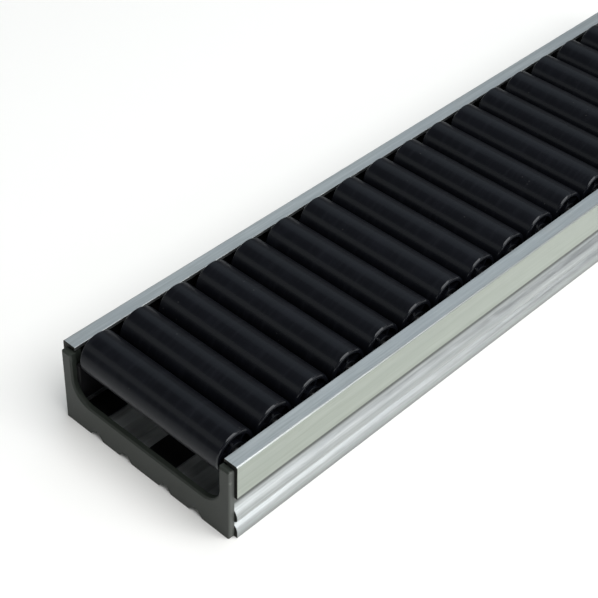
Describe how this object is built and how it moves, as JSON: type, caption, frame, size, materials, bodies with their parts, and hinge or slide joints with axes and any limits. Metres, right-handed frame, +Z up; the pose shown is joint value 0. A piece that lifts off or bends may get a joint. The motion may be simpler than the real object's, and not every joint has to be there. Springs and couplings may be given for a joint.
{
  "type": "flow rack roller track",
  "caption": "Aluminium channel track with full-width plastic rollers on steel axles, carried in bearing strips and closed by moulded end caps.",
  "frame": {"origin": "middle of the track's underside", "axes": "+X across the track, +Y along it from the front end cap to the rear one, +Z up"},
  "size_m": [0.101, 0.433, 0.0445],
  "materials": {
    "extrusion": "satin, as extruded",
    "liner": "matte",
    "cap": "moulded, satin",
    "strip": "moulded, matte",
    "axle": "drawn, bright",
    "roller": "moulded, satin"
  },
  "bodies": {
    "track": {"channel": "extrusion", "floor_liner": "liner", "side_liner_left": "liner", "side_liner_right": "liner", "end_cap_front": "cap", "end_cap_rear": "cap", "bearing_strip_left_1": "strip", "bearing_strip_left_2": "strip", "bearing_strip_left_3": "strip", "bearing_strip_left_4": "strip", "bearing_strip_right_1": "strip", "bearing_strip_right_2": "strip", "bearing_strip_right_3": "strip", "bearing_strip_right_4": "strip", "axle_01": "axle", "axle_02": "axle", "axle_03": "axle", "axle_04": "axle", "axle_05": "axle", "axle_06": "axle", "axle_07": "axle", "axle_08": "axle", "axle_09": "axle", "axle_10": "axle", "axle_11": "axle", "axle_12": "axle", "axle_13": "axle", "axle_14": "axle", "axle_15": "axle", "axle_16": "axle", "axle_17": "axle", "axle_18": "axle", "axle_19": "axle", "axle_20": "axle"},
    "roller_body_01": {"roller_01": "roller"},
    "roller_body_02": {"roller_02": "roller"},
    "roller_body_03": {"roller_03": "roller"},
    "roller_body_04": {"roller_04": "roller"},
    "roller_body_05": {"roller_05": "roller"},
    "roller_body_06": {"roller_06": "roller"},
    "roller_body_07": {"roller_07": "roller"},
    "roller_body_08": {"roller_08": "roller"},
    "roller_body_09": {"roller_09": "roller"},
    "roller_body_10": {"roller_10": "roller"},
    "roller_body_11": {"roller_11": "roller"},
    "roller_body_12": {"roller_12": "roller"},
    "roller_body_13": {"roller_13": "roller"},
    "roller_body_14": {"roller_14": "roller"},
    "roller_body_15": {"roller_15": "roller"},
    "roller_body_16": {"roller_16": "roller"},
    "roller_body_17": {"roller_17": "roller"},
    "roller_body_18": {"roller_18": "roller"},
    "roller_body_19": {"roller_19": "roller"},
    "roller_body_20": {"roller_20": "roller"}
  },
  "joints": [
    {"name": "roller_01_spin", "type": "hinge", "parent": "track", "child": "roller_body_01", "pos_m": [0, -0.20425, 0.0345], "axis": [1, 0, 0], "continuous": true},
    {"name": "roller_02_spin", "type": "hinge", "parent": "track", "child": "roller_body_02", "pos_m": [0, -0.18275, 0.0345], "axis": [1, 0, 0], "continuous": true},
    {"name": "roller_03_spin", "type": "hinge", "parent": "track", "child": "roller_body_03", "pos_m": [0, -0.16125, 0.0345], "axis": [1, 0, 0], "continuous": true},
    {"name": "roller_04_spin", "type": "hinge", "parent": "track", "child": "roller_body_04", "pos_m": [0, -0.13975, 0.0345], "axis": [1, 0, 0], "continuous": true},
    {"name": "roller_05_spin", "type": "hinge", "parent": "track", "child": "roller_body_05", "pos_m": [0, -0.11825, 0.0345], "axis": [1, 0, 0], "continuous": true},
    {"name": "roller_06_spin", "type": "hinge", "parent": "track", "child": "roller_body_06", "pos_m": [0, -0.09675, 0.0345], "axis": [1, 0, 0], "continuous": true},
    {"name": "roller_07_spin", "type": "hinge", "parent": "track", "child": "roller_body_07", "pos_m": [0, -0.07525, 0.0345], "axis": [1, 0, 0], "continuous": true},
    {"name": "roller_08_spin", "type": "hinge", "parent": "track", "child": "roller_body_08", "pos_m": [0, -0.05375, 0.0345], "axis": [1, 0, 0], "continuous": true},
    {"name": "roller_09_spin", "type": "hinge", "parent": "track", "child": "roller_body_09", "pos_m": [0, -0.03225, 0.0345], "axis": [1, 0, 0], "continuous": true},
    {"name": "roller_10_spin", "type": "hinge", "parent": "track", "child": "roller_body_10", "pos_m": [0, -0.01075, 0.0345], "axis": [1, 0, 0], "continuous": true},
    {"name": "roller_11_spin", "type": "hinge", "parent": "track", "child": "roller_body_11", "pos_m": [0, 0.01075, 0.0345], "axis": [1, 0, 0], "continuous": true},
    {"name": "roller_12_spin", "type": "hinge", "parent": "track", "child": "roller_body_12", "pos_m": [0, 0.03225, 0.0345], "axis": [1, 0, 0], "continuous": true},
    {"name": "roller_13_spin", "type": "hinge", "parent": "track", "child": "roller_body_13", "pos_m": [0, 0.05375, 0.0345], "axis": [1, 0, 0], "continuous": true},
    {"name": "roller_14_spin", "type": "hinge", "parent": "track", "child": "roller_body_14", "pos_m": [0, 0.07525, 0.0345], "axis": [1, 0, 0], "continuous": true},
    {"name": "roller_15_spin", "type": "hinge", "parent": "track", "child": "roller_body_15", "pos_m": [0, 0.09675, 0.0345], "axis": [1, 0, 0], "continuous": true},
    {"name": "roller_16_spin", "type": "hinge", "parent": "track", "child": "roller_body_16", "pos_m": [0, 0.11825, 0.0345], "axis": [1, 0, 0], "continuous": true},
    {"name": "roller_17_spin", "type": "hinge", "parent": "track", "child": "roller_body_17", "pos_m": [0, 0.13975, 0.0345], "axis": [1, 0, 0], "continuous": true},
    {"name": "roller_18_spin", "type": "hinge", "parent": "track", "child": "roller_body_18", "pos_m": [0, 0.16125, 0.0345], "axis": [1, 0, 0], "continuous": true},
    {"name": "roller_19_spin", "type": "hinge", "parent": "track", "child": "roller_body_19", "pos_m": [0, 0.18275, 0.0345], "axis": [1, 0, 0], "continuous": true},
    {"name": "roller_20_spin", "type": "hinge", "parent": "track", "child": "roller_body_20", "pos_m": [0, 0.20425, 0.0345], "axis": [1, 0, 0], "continuous": true}
  ]
}
